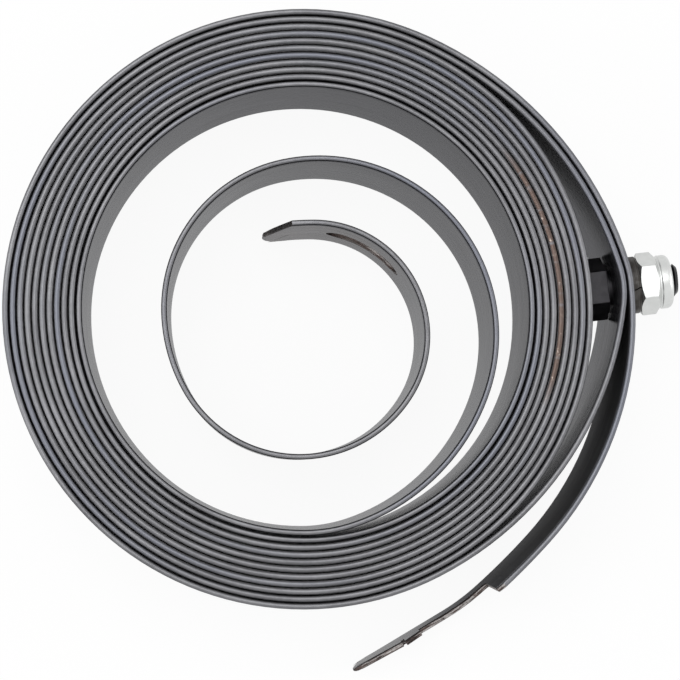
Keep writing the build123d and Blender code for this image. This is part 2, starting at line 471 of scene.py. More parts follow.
def bentEnd(name, outlines, first, last, seam):
    work = sheetFromOutlines(outlines, first, last)
    piece = newObject(name, meshFromBmesh(name, work))
    setMaterials(piece, material["springSteel"], material["shearedSteel"])
    addModifier(piece, "BEVEL", width=strip["edgeRadius"], limit_method="WEIGHT",
                segments=strip["edgeSegments"], use_clamp_overlap=False, harden_normals=False)
    settle(piece)
    work = bmesh.new()
    work.from_mesh(piece.data)
    cutAcross(work, seam, 1 if seam == last else -1, clear=True)
    margin = strip["edgeRadius"] + ends["seamMargin"]
    spare = [corner for corner in work.verts
             if abs(corner.co.x - seam) < 1e-4 and margin < corner.co.z < strip["width"] - margin]
    bmesh.ops.dissolve_verts(work, verts=spare)
    along = work.verts.layers.float.new("along")
    across = work.verts.layers.float.new("across")
    for corner in work.verts:
        distance, inward, height = corner.co
        corner[along] = distance
        corner[across] = inward
        inward *= tipTaper(min(distance, stripLength - distance))
        pose = poseAlong(distance)
        x, y = beside(pose, -inward)
        corner.co = (x * mm, y * mm, height * mm)
    work.to_mesh(piece.data)
    work.free()
    return piece


def innerEndPiece():
    seam = ends["innerStretch"]
    past, top = seam + ends["seamOverrun"], strip["width"]
    outline = [(past, 0, 0), (past, top, 0), (ends["slantLength"], top, 0),
               (0, ends["slantHeight"], ends["tipRadius"]), (0, 0, ends["tipRadius"])]
    near, far = ends["slotSetback"], ends["slotSetback"] + ends["slotLength"]
    low, high = midWidth - ends["slotWidth"] / 2, midWidth + ends["slotWidth"] / 2
    endRadius = ends["slotWidth"] / 2 - ends["slack"]
    slot = [(near, low, endRadius), (near, high, endRadius), (far, high, endRadius), (far, low, endRadius)]
    return bentEnd("innerEnd", [roundedOutline(outline), roundedOutline(slot)], 0.0, seam, seam)


def outerEndPiece():
    size = ends
    shoulderShadeMask = stripLength - size["tongueLength"]
    seam = stripLength - size["outerStretch"]
    past = seam - shoulderShadeMask - size["seamOverrun"]
    top, chamfer, neck = strip["width"], size["shoulderChamfer"], size["neckLength"]
    tooth = neck + size["toothLength"]
    notch, notchFloor = tooth + size["notchWidth"], size["tongueHeight"] - size["notchDepth"]
    tongue = [(past, top, 0), (-chamfer, top, 0), (0, top - chamfer, 0),
              (0, size["neckHeight"], size["rootRadius"]), (neck, size["neckHeight"], 0),
              (neck, size["toothHeight"] - size["toothSlope"], 0), (tooth, size["toothHeight"], 0),
              (tooth, notchFloor, 0), (notch, notchFloor, 0), (notch, size["tongueHeight"], 0),
              (size["tongueLength"], size["noseHeight"], size["noseUpperRadius"]),
              (size["tongueLength"], 0, size["noseLowerRadius"]), (past, 0, 0)]
    outline = [(shoulderShadeMask + x, y, radius) for x, y, radius in tongue]
    return bentEnd("outerEnd", [roundedOutline(outline)], seam, stripLength, seam)


print("strip path:", round(stripLength), "mm long")


# the bolt's own axis system: Z out along the bolt from the inner band's inner face, Y up the strip

hardware = {
    "threadDiameter": 8.0,
    "threadRoot": 6.5,
    "threadPitch": 1.25,
    "threadTurns": 5,
    "acrossFlats": 13.0,
    "chamferAngle": 30.0,
    "hexFaceShare": 0.95,
    "boltLength": 16.0,
    "headHeight": strip["boltHead"],
    "bearingDiameter": 11.6,
    "bearingStep": 0.4,
    "nutHeight": 8.0,
    "nutHexHeight": 4.2,
    "cornerTrim": 0.4,        # how far the hexagon's corners are turned back below its collar
    "grooveDiameter": 12.3,   # between the hexagon and the collar
    "grooveRise": 0.8,
    "grooveRadius": 0.3,
    "collarDiameter": 12.8,
    "collarRound": 1.3,
    "cornerReach": 1.1,       # past the flats, clear of the corners
    "cornerFoot": 0.35,
    "collarEase": 0.04,
    "collarFoot": 0.36,
    "collarWall": 0.46,
    "grooveLean": 40.0,
    "grooveSteps": 5,
    "shoulderSteps": 6,
    "lipDiameter": 9.4,
    "lipThickness": 0.6,
    "insertDiameter": 10.6,
    "insertHeight": 1.8,
    "insertChamfer": 0.25,
    "washerDiameter": 14.0,
    "washerThickness": 1.6,
    "washerRound": 0.3,
    "washerFoot": 0.12,
    "lockWasherDiameter": 13.6,
    "lockWasherThickness": 2.0,
    "splitWidth": 0.3,
    "splitSlant": 20.0,
    "splitTurn": 12.0,
    "wireCorner": 0.16,
    "wireSteps": 120,
    "holeClearance": 0.5,
    "washerClearance": 0.2,
    "threadClearance": 0.05,
    "threadRunout": 0.6,
    "threadStop": 0.45,
    "threadShare": 0.98,      # how much of the thread's full height the ridge has
    "threadSteps": 48,
    "endChamfer": 0.25,
    "bearingSink": 0.5,
    "holeOverrun": 0.2,
    "rimSlack": 0.01,
    "bandSlack": 0.1,
    "roundSteps": 96,
    "cornerRadius": 0.14,
    "cornerAngle": 25.0,
    "cornerSegments": 3,
    "sharpAngle": 24.0,
}
washerSeat = pitch + strip["thickness"]
lockWasherSeat = washerSeat + hardware["washerThickness"]
nutSeat = lockWasherSeat + hardware["lockWasherThickness"]
insertSeat = nutSeat + hardware["nutHeight"] - hardware["lipThickness"] - hardware["insertHeight"]


def seatMatrix(height=0.0):
    pose = seatMiddle(bulgeStart)
    x, y = beside(pose, height - halfThickness)
    alongX, alongY = heading(pose[2])
    turn = Matrix(((-alongX, 0, -alongY), (-alongY, 0, alongX), (0, 1, 0)))
    return Matrix.Translation((x * mm, y * mm, midWidth * mm)) @ turn.to_4x4() @ Matrix.Scale(mm, 4)


def turnedProfile(name, profile):
    # a closed profile of (radius, height) points, turned about the axis
    work = bmesh.new()
    steps = hardware["roundSteps"]
    rings = []
    for radius, height in profile:
        if radius == 0:
            rings.append([work.verts.new((0, 0, height))] * steps)
            continue
        rings.append([work.verts.new((radius * math.cos(2 * math.pi * step / steps),
                                      radius * math.sin(2 * math.pi * step / steps), height))
                      for step in range(steps)])
    closed = profile[0][0] > 0
    for index in range(len(rings) if closed else len(rings) - 1):
        lower, upper = rings[index], rings[(index + 1) % len(rings)]
        for step in range(steps):
            after = (step + 1) % steps
            corners = [lower[step], lower[after], upper[after], upper[step]]
            work.faces.new(list(dict.fromkeys(corners)))
    bmesh.ops.recalc_face_normals(work, faces=work.faces)
    return newObject(name, meshFromBmesh(name, work))


def hexPrism(name, height):
    work = bmesh.new()
    radius = hardware["acrossFlats"] / math.sqrt(3)
    turns = [math.pi * side / 3 for side in range(6)]
    corners = [work.verts.new((radius * math.cos(turn), radius * math.sin(turn), 0)) for turn in turns]
    base = work.faces.new(corners)
    thicken(work, [base], (0, 0, height))
    prism = newObject(name, meshFromBmesh(name, work))
    addModifier(prism, "BEVEL", width=hardware["cornerRadius"], limit_method="ANGLE",
                angle_limit=math.radians(hardware["cornerAngle"]), segments=hardware["cornerSegments"],
                use_clamp_overlap=True)
    return settle(prism)


def hexChamfer():
    # the radius of the end face's circle, and how steeply the cone falls away from it
    faceRadius = hardware["hexFaceShare"] * hardware["acrossFlats"] / 2
    return faceRadius, math.tan(math.radians(hardware["chamferAngle"]))


def chamferedHex(name, height, profile):
    # the flats run out in arches where a turned shape trims the corners
    return cutWith(hexPrism(name, height), turnedProfile("trim", profile), "INTERSECT")


def seatPiece(piece, node, height, finish):
    smoothFaces(piece, hardware["sharpAngle"])
    piece.data.transform(seatMatrix(height))
    setMaterials(piece, finish)
    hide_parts(node)
    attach(piece, "root")


def roundedShoulder(radius, height, rounding):
    # a quarter circle from the wall in to the top face
    steps = hardware["shoulderSteps"]
    turns = [math.pi / 2 * step / steps for step in range(steps + 1)]
    return [(radius - rounding * (1 - math.cos(turn)), height - rounding * (1 - math.sin(turn)))
            for turn in turns]


def roundedGroove(radius, height, bend):
    # from one flank round to the other, both leaning from the axis
    lean, steps = hardware["grooveLean"], hardware["grooveSteps"]
    turns = [math.radians(180 + lean - 2 * lean * step / steps) for step in range(steps + 1)]
    return [(radius + bend * (1 + math.cos(turn)), height + bend * math.sin(turn)) for turn in turns]


def makeLockNut():
    size = hardware
    height, foot = size["nutHeight"], size["nutHexHeight"]
    top = foot + size["grooveRise"]
    flat, collar = size["acrossFlats"] / 2, size["collarDiameter"] / 2
    faceRadius, rise = hexChamfer()
    wide = flat + size["cornerReach"]
    nut = chamferedHex("lockNut", height + 1,
                       [(0, 0), (faceRadius, 0), (wide, (wide - faceRadius) * rise),
                        (wide, foot - size["cornerTrim"]), (flat + size["cornerFoot"], foot)]
                       + roundedGroove(size["grooveDiameter"] / 2, top, size["grooveRadius"])
                       + [(collar - size["collarEase"], top + size["collarFoot"]),
                          (collar, top + size["collarWall"])]
                       + roundedShoulder(collar, height, size["collarRound"]) + [(0, height)])
    bore = size["threadDiameter"] / 2 + size["threadClearance"]
    insert, lip = size["insertDiameter"] / 2, size["lipDiameter"] / 2
    cavityTop = height - size["lipThickness"]
    cavityFoot = cavityTop - size["insertHeight"]
    hollow = [(0, -1), (bore, -1), (bore, cavityFoot), (insert, cavityFoot), (insert, cavityTop),
              (lip, cavityTop), (lip, height + 1), (0, height + 1)]
    cutWith(nut, turnedProfile("hollow", hollow))
    seatPiece(nut, "lock_nut", nutSeat, material["zincPlate"])


def makeNylonInsert():
    size = hardware
    bore = size["threadDiameter"] / 2 + size["threadClearance"]
    outside, height, chamfer = size["insertDiameter"] / 2, size["insertHeight"], size["insertChamfer"]
    section = [(bore, 0), (outside, 0), (outside, height), (bore + chamfer, height), (bore, height - chamfer)]
    insert = turnedProfile("nylonInsert", section)
    seatPiece(insert, "nylon_insert", insertSeat, material["blackNylon"])


def makeFlatWasher():
    size = hardware
    bore = size["threadDiameter"] / 2 + size["washerClearance"]
    outside, thick, foot = size["washerDiameter"] / 2, size["washerThickness"], size["washerFoot"]
    washer = turnedProfile("flatWasher", [(bore, 0), (outside - foot, 0), (outside, foot)]
                           + roundedShoulder(outside, thick, size["washerRound"]) + [(bore, thick)])
    seatPiece(washer, "flat_washer", washerSeat, material["washerSteel"])


def makeLockWasher():
    # one turn of square wire, with slanted ends that stand a little apart
    size = hardware
    bore = size["threadDiameter"] / 2 + size["washerClearance"]
    outside, thick = size["lockWasherDiameter"] / 2, size["lockWasherThickness"]
    corner, steps = size["wireCorner"], size["wireSteps"]
    section = [(bore, corner), (bore + corner, 0), (outside - corner, 0), (outside, corner),
               (outside, thick - corner), (outside - corner, thick), (bore + corner, thick),
               (bore, thick - corner)]
    gap = math.degrees(size["splitWidth"] / outside)
    lean = math.tan(math.radians(size["splitSlant"]))
    work = bmesh.new()
    rings = []
    for step in range(steps + 1):
        share = step / steps
        ring = []
        for radius, height in section:
            slant = math.degrees((height - thick / 2) * lean / outside)
            angle = math.radians(90 + size["splitTurn"] + gap / 2 + (360 - gap) * share - slant)
            ring.append(work.verts.new((radius * math.cos(angle), radius * math.sin(angle), height)))
        rings.append(ring)
    for lower, upper in zip(rings, rings[1:]):
        for index in range(len(section)):
            work.faces.new((lower[index - 1], lower[index], upper[index], upper[index - 1]))
    work.faces.new(rings[0])
    work.faces.new(rings[-1])
    bmesh.ops.recalc_face_normals(work, faces=work.faces)
    washer = newObject("lockWasher", meshFromBmesh("lockWasher", work))
    seatPiece(washer, "lock_washer", lockWasherSeat, material["washerSteel"])


def threadTree():
    # a ridge of thread wound along the shank by Geometry Nodes
    tree, given, result = newTree("boltThread", {
        "Geometry": "Geometry", "Turns": "Float", "Thread Radius": "Float", "Thread Length": "Float",
        "Thread Height": "Float", "Steps per Turn": "Int",
    })
    helix = addNode(tree, "GeometryNodeCurveSpiral")
    upright = addNode(tree, "GeometryNodeSetCurveNormal", {"mode": "Z_UP"})
    ridge = addNode(tree, "GeometryNodeCurvePrimitiveCircle", {"mode": "RADIUS"}, {"Resolution": 4})
    sweep = addNode(tree, "GeometryNodeCurveToMesh", None, {"Fill Caps": True})
    realize = addNode(tree, "GeometryNodeRealizeInstances")
    joinNodes(
        tree,
        (given.outputs["Steps per Turn"], helix.inputs["Resolution"]),
        (given.outputs["Turns"], helix.inputs["Rotations"]),
        (given.outputs["Thread Radius"], helix.inputs["Start Radius"]),
        (given.outputs["Thread Radius"], helix.inputs["End Radius"]),
        (given.outputs["Thread Length"], helix.inputs["Height"]),
        (helix.outputs["Curve"], upright.inputs["Curve"]),
        (upright.outputs["Curve"], sweep.inputs["Curve"]),
        (given.outputs["Thread Height"], ridge.inputs["Radius"]),
        (ridge.outputs["Curve"], sweep.inputs["Profile Curve"]),
        (sweep.outputs["Mesh"], realize.inputs["Geometry"]),
        (realize.outputs["Geometry"], result.inputs["Geometry"]),
    )
    return tree


def makeHexBolt():
    size = hardware
    thread, root, length = size["threadDiameter"] / 2, size["threadRoot"] / 2, size["boltLength"]
    faceRadius, rise = hexChamfer()
    tall = size["headHeight"] - size["bearingStep"]
    wide = faceRadius + tall / 2 / rise
    trim = [(0, -1), (wide, -1), (wide, tall / 2), (faceRadius, tall), (0, tall)]
    head = chamferedHex("hexBolt", tall, trim)
    face = -strip["headDrop"]
    step = face - size["bearingStep"]
    head.data.transform(Matrix.Translation((0, 0, step)) @ Matrix.Rotation(math.pi, 4, "X"))
    run = size["threadPitch"] * size["threadTurns"]
    plain, ridgeHeight = length - run - size["threadRunout"], thread - root
    bearing, sunk, chamfer = size["bearingDiameter"] / 2, step - size["bearingSink"], size["endChamfer"]
    turned = [(0, sunk), (bearing, sunk), (bearing, face), (thread, face), (thread, plain),
              (root, plain + ridgeHeight), (root, length - chamfer), (root - chamfer, length), (0, length)]
    shank = turnedProfile("shank", turned)
    ridge = runTree(newObject("ridge", bpy.data.meshes.new("ridge")), threadTree(), {
        "Turns": float(size["threadTurns"]),
        "Thread Radius": root,
        "Thread Length": run,
        "Thread Height": ridgeHeight * size["threadShare"],
        "Steps per Turn": size["threadSteps"],
    })
    ridge.data.transform(Matrix.Translation((0, 0, length - run - size["threadStop"])))
    work = bmesh.new()
    for piece in (head, shank, ridge):
        work.from_mesh(piece.data)
    work.to_mesh(head.data)
    work.free()
    for piece in (shank, ridge):
        bpy.data.objects.remove(piece)
    seatPiece(head, "hex_bolt", 0.0, material["boltSteel"])


# the strip, welded from its coil and its two ends, with the holes for the bolt

def nameRimDistances(whole, holeRadius):
    # the cut's new points have no distance along the strip yet
    distances = whole.data.attributes["along"].data
    toSeat = seatMatrix().inverted()
    for vertex in whole.data.vertices:
        x, y, z = toSeat @ vertex.co
        if abs(math.hypot(x, y) - holeRadius) < hardware["rimSlack"] and abs(z) < 2 * pitch:
            outer = z > strip["thickness"] + hardware["bandSlack"]
            distances[vertex.index].value = (outerSeatDistance if outer else innerSeatDistance) - x


def makeSpringStrip():
    whole = sweptCoil()
    print("coil swept:", len(whole.data.polygons), "faces")
    pieces = [innerEndPiece(), outerEndPiece()]
    print("ends bent:", [len(piece.data.polygons) for piece in pieces])
    setMaterials(whole, material["springSteel"], material["shearedSteel"])
    bpy.ops.object.select_all(action="DESELECT")
    for piece in pieces + [whole]:
        piece.select_set(True)
    bpy.context.view_layer.objects.active = whole
    bpy.ops.object.join()
    work = bmesh.new()
    work.from_mesh(whole.data)
    bmesh.ops.remove_doubles(work, verts=work.verts, dist=strip["weldDistance"] * mm)
    bmesh.ops.recalc_face_normals(work, faces=work.faces)
    openEdges = [edge for edge in work.edges if edge.is_boundary]
    print("strip welded:", len(work.faces), "faces,", len(openEdges), "open edges")
    work.to_mesh(whole.data)
    work.free()
    holeRadius = hardware["threadDiameter"] / 2 + hardware["holeClearance"]
    reach = pitch + strip["thickness"] + hardware["holeOverrun"]
    start = -strip["headDrop"]
    hole = turnedProfile("hole", [(0, start), (holeRadius, start), (holeRadius, reach), (0, reach)])
    hole.data.transform(seatMatrix())
    cutWith(whole, hole)
    nameRimDistances(whole, holeRadius)
    smoothFaces(whole, strip["sharpAngle"])
    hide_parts("spring_strip")
    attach(whole, "root")


# finishes: a noise is (scale, detail, roughness), and a bump (strength, depth)
# a range is where a mask is 0 and where it is 1, and two more numbers are what it has there instead

noiseSpread = (0.3, 0.7)  # what nearly all of a noise's values lie between


def startFinish(name):
    made = bpy.data.materials.new(name)
    made.use_nodes = True
    tree = made.node_tree
    tree.nodes.clear()
    shader = addNode(tree, "ShaderNodeBsdfPrincipled")
    output = addNode(tree, "ShaderNodeOutputMaterial")
    joinNodes(tree, (shader.outputs["BSDF"], output.inputs["Surface"]))
    material[name] = made
    return tree, shader


def fillSocket(tree, socket, value):
    if isinstance(value, bpy.types.NodeSocket):
        tree.links.new(value, socket)
    else:
        socket.default_value = value


def colourMix(tree, factor, first, second):
    mix = addNode(tree, "ShaderNodeMix", {"data_type": "RGBA", "clamp_factor": True})
    for value, name in ((first, "A_Color"), (second, "B_Color"), (factor, "Factor_Float")):
        fillSocket(tree, next(item for item in mix.inputs if item.identifier == name), value)
    return next(item for item in mix.outputs if item.identifier == "Result_Color")


def mathNode(tree, operation, *values):
    node = addNode(tree, "ShaderNodeMath", {"operation": operation})
    for index, value in enumerate(values):
        fillSocket(tree, node.inputs[index], value)
    return node.outputs[0]


def times(tree, first, second):
    return mathNode(tree, "MULTIPLY", first, second)


def plus(tree, first, second):
    return mathNode(tree, "ADD", first, second)


def noiseOn(tree, vector, scale, detail, roughness):
    noise = addNode(tree, "ShaderNodeTexNoise", None,
                    {"Scale": scale, "Detail": detail, "Roughness": roughness})
    tree.links.new(vector, noise.inputs["Vector"])
    return noise.outputs["Fac"]


def ranged(tree, value, low, high, toLow=0.0, toHigh=1.0):
    node = addNode(tree, "ShaderNodeMapRange", {"clamp": True},
                   {"From Min": low, "From Max": high, "To Min": toLow, "To Max": toHigh})
    tree.links.new(value, node.inputs["Value"])
    return node.outputs["Result"]


def bumpInto(tree, shader, height, strength, distance):
    bump = addNode(tree, "ShaderNodeBump", None, {"Strength": strength, "Distance": distance})
    joinNodes(tree, (height, bump.inputs["Height"]), (bump.outputs["Normal"], shader.inputs["Normal"]))


def dress(tree, shader, colour, roughness, metallic=0.0):
    joinNodes(tree, (colour, shader.inputs["Base Color"]), (roughness, shader.inputs["Roughness"]))
    shader.inputs["Metallic"].default_value = metallic


def objectPlace(tree):
    return addNode(tree, "ShaderNodeTexCoord").outputs["Object"]


def meshValue(tree, name):
    value = addNode(tree, "ShaderNodeAttribute", {"attribute_type": "GEOMETRY", "attribute_name": name})
    return value.outputs["Fac"]


def upwards(tree, vector):
    split = addNode(tree, "ShaderNodeSeparateXYZ")
    tree.links.new(vector, split.inputs["Vector"])
    return split.outputs["Z"]


def stripCoordinates(tree):
    # distance along the strip and height on it, both in millimetres, and the object's own coordinates
    place = objectPlace(tree)
    return meshValue(tree, "along"), times(tree, upwards(tree, place), 1 / mm), place


def stretched(tree, *axes):
    # a texture's vector, from up to three values that each come with a scale
    joined = addNode(tree, "ShaderNodeCombineXYZ")
    for index, (value, scale) in enumerate(axes):
        tree.links.new(times(tree, value, scale), joined.inputs[index])
    return joined.outputs["Vector"]


def alongBolt(tree, place):
    # distance out along the bolt from its seat, in millimetres
    seat = seatMatrix()
    start = addNode(tree, "ShaderNodeVectorMath", {"operation": "SUBTRACT"})
    start.inputs[1].default_value = seat.translation
    reach = addNode(tree, "ShaderNodeVectorMath", {"operation": "DOT_PRODUCT"})
    reach.inputs[1].default_value = seat.to_3x3().col[2].normalized()
    joinNodes(tree, (place, start.inputs[0]), (start.outputs["Vector"], reach.inputs[0]))
    return times(tree, reach.outputs["Value"], 1 / mm)


steelLook = {
    "streakScale": (0.03, 1.6),               # along the strip, and up it
    "streakNoise": (1.0, 6.0, 0.65),
    "cloudScale": (0.05, 0.08),
    "cloudNoise": (1.0, 3.0, 0.55),
    "grainNoise": (900.0, 4.0, 0.6),
    "toneShares": (0.5, 0.3, 0.2),            # of the streaks, the clouds and the grain
    "toneRange": (0.40, 0.60),
    # the flat faces
    "darkWall": (0.072, 0.072, 0.078, 1),
    "paleWall": (0.112, 0.113, 0.120, 1),
    "oilTone": (0.016, 0.0155, 0.0165, 1),
    "oilLength": 158.0,
    "oilFade": 50.0,
    "oilStop": (22.0, -2.0),                  # past the tongue's shoulder
    "oilPatches": (0.35, 0.6, 0.7, 1.0),
    "wornTone": (0.42, 0.41, 0.40, 1),
    "wornFrom": 12.0,
    "wornEnd": 4.0,
    "heatTone": (0.160, 0.130, 0.122, 1),
    "heatLength": 44.0,
    "heatNoise": (160.0, 4.0, 0.55),
    "heatShare": (0.35, 1.0),
    # the rolled edges
    "darkEdge": (0.119, 0.119, 0.126, 1),
    "paleEdge": (0.190, 0.190, 0.199, 1),
    "blueEdge": (0.130, 0.136, 0.160, 1),
    "blueScale": 0.006,
    "blueNoise": (1.0, 2.0, 0.55),
    "blueRange": (0.50, 0.62, 0.0, 0.8),
    "edgeFacing": (0.05, 0.45),               # by how far a face turns up
    "edgeDepth": (2.5, 0.7),                  # or by how near the top it is
    "rustStretches": [(1945.0, 2010.0)],      # where a turn's upper edge rusted, from the inner end
    "rustFade": 8.0,
    "rustTone": (0.105, 0.078, 0.068, 1),
    "rustScale": (0.5, 0.2),
    "rustNoise": (1.0, 5.0, 0.55),
    "rustRange": (0.30, 0.46),
    "rustPale": (0.34, 0.29, 0.26, 1),
    "speckNoise": (1300.0, 2.0, 0.55),
    "speckRange": (0.62, 0.74),
    "shoulderShadeTone": (0.030, 0.030, 0.033, 1), # painted shade on the shoulders of the loose turns' rolled edges
    "shoulderShadeFrom": (0.88, 0.72),
    "shoulderShadeTo": (0.02, 0.12),
    "looseLength": 665.0,
    "looseFade": 40.0,
    # painted light: a pale tone on the packed turns' walls just below their top edges, which keeps the narrow
    # gaps between the turns from looking black
    "paintedLightTone": (0.60, 0.60, 0.61, 1),
    "paintedLightFacing": (0.5, 0.2),
    "paintedLightDepth": (3.0, 1.0),
    "packedFrom": (980.0, 1020.0),
    "packedTo": (innerSeatDistance - 400.0, innerSeatDistance - 440.0),
    "metallic": 0.8,
    "oilMetallic": 0.4,
    "specular": 0.15,
    "glancingTint": (0.33, 0.33, 0.34, 1),    # what a flat face reflects when seen almost edge on
    "wallRoughness": (0.20, 0.30),
    "edgeRoughness": 0.15,
    "oilRoughness": 0.35,
    "bump": (0.06, 0.0002),
}


def wallColour(tree, place, along, shade, clouds, oily):
    look = steelLook
    wall = colourMix(tree, shade, look["darkWall"], look["paleWall"])
    oiled = times(tree, oily, ranged(tree, clouds, *look["oilPatches"]))
    wall = colourMix(tree, oiled, wall, look["oilTone"])
    tongue = stripLength - ends["tongueLength"]
    worn = ranged(tree, along, tongue + look["wornFrom"], stripLength - look["wornEnd"])
    wall = colourMix(tree, worn, wall, look["wornTone"])
    heat = ranged(tree, along, look["heatLength"], 0.0)
    patches = ranged(tree, noiseOn(tree, place, *look["heatNoise"]), *noiseSpread, *look["heatShare"])
    return colourMix(tree, times(tree, heat, patches), wall, look["heatTone"])


def edgeColour(tree, place, along, height, shade, facing):
    look = steelLook
    edge = colourMix(tree, shade, look["darkEdge"], look["paleEdge"])
    blueing = noiseOn(tree, stretched(tree, (along, look["blueScale"])), *look["blueNoise"])
    edge = colourMix(tree, ranged(tree, blueing, *look["blueRange"]), edge, look["blueEdge"])
    for first, last in look["rustStretches"]:
        inside = times(tree, ranged(tree, along, first, first + look["rustFade"]),
                       ranged(tree, along, last, last - look["rustFade"]))
        rust = noiseOn(tree, stretched(tree, *zip((along, height), look["rustScale"])), *look["rustNoise"])
        specks = noiseOn(tree, place, *look["speckNoise"])
        for mask, tone in ((ranged(tree, rust, *look["rustRange"]), look["rustTone"]),
                           (ranged(tree, specks, *look["speckRange"]), look["rustPale"])):
            edge = colourMix(tree, times(tree, inside, mask), edge, tone)
    # painted shade: where the loose turns' rolled edges turn part way up, their shoulders are darkened
    loose = ranged(tree, along, look["looseLength"] + look["looseFade"], look["looseLength"])
    shoulderShadeMask = times(tree, ranged(tree, facing, *look["shoulderShadeFrom"]),
                     ranged(tree, facing, *look["shoulderShadeTo"]))
    return colourMix(tree, times(tree, shoulderShadeMask, loose), edge, look["shoulderShadeTone"])


def finishSpringSteel():
    look = steelLook
    tree, shader = startFinish("springSteel")
    along, height, place = stripCoordinates(tree)
    facing = upwards(tree, addNode(tree, "ShaderNodeNewGeometry").outputs["Normal"])
    streaks = noiseOn(tree, stretched(tree, *zip((along, height), look["streakScale"])), *look["streakNoise"])
    clouds = noiseOn(tree, stretched(tree, *zip((along, height), look["cloudScale"])), *look["cloudNoise"])
    grain = noiseOn(tree, place, *look["grainNoise"])
    parts = [times(tree, part, share) for part, share in zip((streaks, clouds, grain), look["toneShares"])]
    tone = plus(tree, plus(tree, parts[0], parts[1]), parts[2])
    shade = ranged(tree, tone, *look["toneRange"])
    oilStart = stripLength - look["oilLength"]
    oilEnds = [stripLength - ends["tongueLength"] + stop for stop in look["oilStop"]]
    oily = times(tree, ranged(tree, along, oilStart, oilStart + look["oilFade"]),
                 ranged(tree, along, *oilEnds))
    top = strip["width"]
    onEdge = mathNode(tree, "MAXIMUM", ranged(tree, facing, *look["edgeFacing"]),
                      ranged(tree, height, *(top - depth for depth in look["edgeDepth"])))
    colour = colourMix(tree, onEdge, wallColour(tree, place, along, shade, clouds, oily),
                       edgeColour(tree, place, along, height, shade, facing))
    # painted light: the packed turns' walls turn pale near their top edges, so the gaps between them look
    # less dark
    packed = times(tree, ranged(tree, along, *look["packedFrom"]), ranged(tree, along, *look["packedTo"]))
    paintedLightMask = times(tree, ranged(tree, facing, *look["paintedLightFacing"]),
                  ranged(tree, height, *(top - depth for depth in look["paintedLightDepth"])))
    colour = colourMix(tree, times(tree, packed, paintedLightMask), colour, look["paintedLightTone"])
    oily = times(tree, oily, mathNode(tree, "SUBTRACT", 1.0, onEdge))
    rough = plus(tree, ranged(tree, streaks, *noiseSpread, *look["wallRoughness"]),
                 times(tree, onEdge, look["edgeRoughness"]))
    dress(tree, shader, colour, plus(tree, rough, times(tree, oily, look["oilRoughness"])))
    metallic = ranged(tree, oily, 0.0, 1.0, look["metallic"], look["oilMetallic"])
    joinNodes(tree, (metallic, shader.inputs["Metallic"]))
    shader.inputs["Specular Tint"].default_value = look["glancingTint"]
    shader.inputs["Specular IOR Level"].default_value = look["specular"]
    bumpInto(tree, shader, tone, *look["bump"])


shearedLook = {
    "drawnScale": (0.16, 2.6, 0.3),           # along the strip, through it and up it
    "drawnNoise": (1.0, 5.0, 0.65),
    "tearNoise": (900.0, 6.0, 0.7),
    "patchNoise": (420.0, 3.0, 0.55),
    "patchRange": (0.38, 0.60),
    "dark": (0.024, 0.016, 0.014, 1),
    "brown": (0.085, 0.062, 0.056, 1),
    "drawnRange": (0.48, 0.60),
    "tearRange": (0.30, 0.50),
    "streakFrom": (23, 29),                   # brighter past the tip
    "dullStreak": (0.10, 0.09, 0.085, 1),
    "brightStreak": (0.42, 0.40, 0.39, 1),
    "burntTone": (0.008, 0.006, 0.006, 1),
    "lipAcross": (0.26, 0.40),
    "lipFrom": (50, 60),
    "tipFade": (9, 6, 0.0, 0.85),
    "tipStart": (1.0, 2.4),
    "metallic": 0.7,
    "roughness": (0.45, 0.75),
    "bump": (0.5, 0.0003),
}


def finishShearedSteel():
    # torn metal, drawn out along the strip: brown with bright streaks, a dark inner lip and a burnt tip
    look = shearedLook
    tree, shader = startFinish("shearedSteel")
    along, height, place = stripCoordinates(tree)
    across = meshValue(tree, "across")
    axes = zip((along, across, height), look["drawnScale"])
    drawn = noiseOn(tree, stretched(tree, *axes), *look["drawnNoise"])
    tear = noiseOn(tree, place, *look["tearNoise"])
    patches = noiseOn(tree, place, *look["patchNoise"])
    colour = colourMix(tree, ranged(tree, patches, *look["patchRange"]), look["dark"], look["brown"])
    bright = times(tree, ranged(tree, drawn, *look["drawnRange"]), ranged(tree, tear, *look["tearRange"]))
    brighter = ranged(tree, along, *look["streakFrom"])
    streak = colourMix(tree, brighter, look["dullStreak"], look["brightStreak"])
    colour = colourMix(tree, bright, colour, streak)
    lip = times(tree, ranged(tree, across, *look["lipAcross"]), ranged(tree, along, *look["lipFrom"]))
    tip = times(tree, ranged(tree, along, *look["tipFade"]), ranged(tree, along, *look["tipStart"]))
    colour = colourMix(tree, mathNode(tree, "MAXIMUM", lip, tip), colour, look["burntTone"])
    dress(tree, shader, colour, ranged(tree, tear, *noiseSpread, *look["roughness"]), look["metallic"])
    bumpInto(tree, shader, tear, *look["bump"])


zincLook = {
    "crystalNoise": (300.0, 3.0, 0.5),
    "crystalRange": (0.35, 0.65),
    "markNoise": (1500.0, 3.0, 0.55),
    "dark": (0.62, 0.63, 0.62, 1),
    "pale": (0.68, 0.69, 0.68, 1),
    "metallic": 0.9,
    "roughness": (0.30, 0.36),
    "bump": (0.04, 0.0001),
}


def finishZincPlate():
    look = zincLook
    tree, shader = startFinish("zincPlate")
    place = objectPlace(tree)
    crystals = noiseOn(tree, place, *look["crystalNoise"])
    colour = colourMix(tree, ranged(tree, crystals, *look["crystalRange"]), look["dark"], look["pale"])
    dress(tree, shader, colour, ranged(tree, crystals, *noiseSpread, *look["roughness"]), look["metallic"])
    bumpInto(tree, shader, noiseOn(tree, place, *look["markNoise"]), *look["bump"])


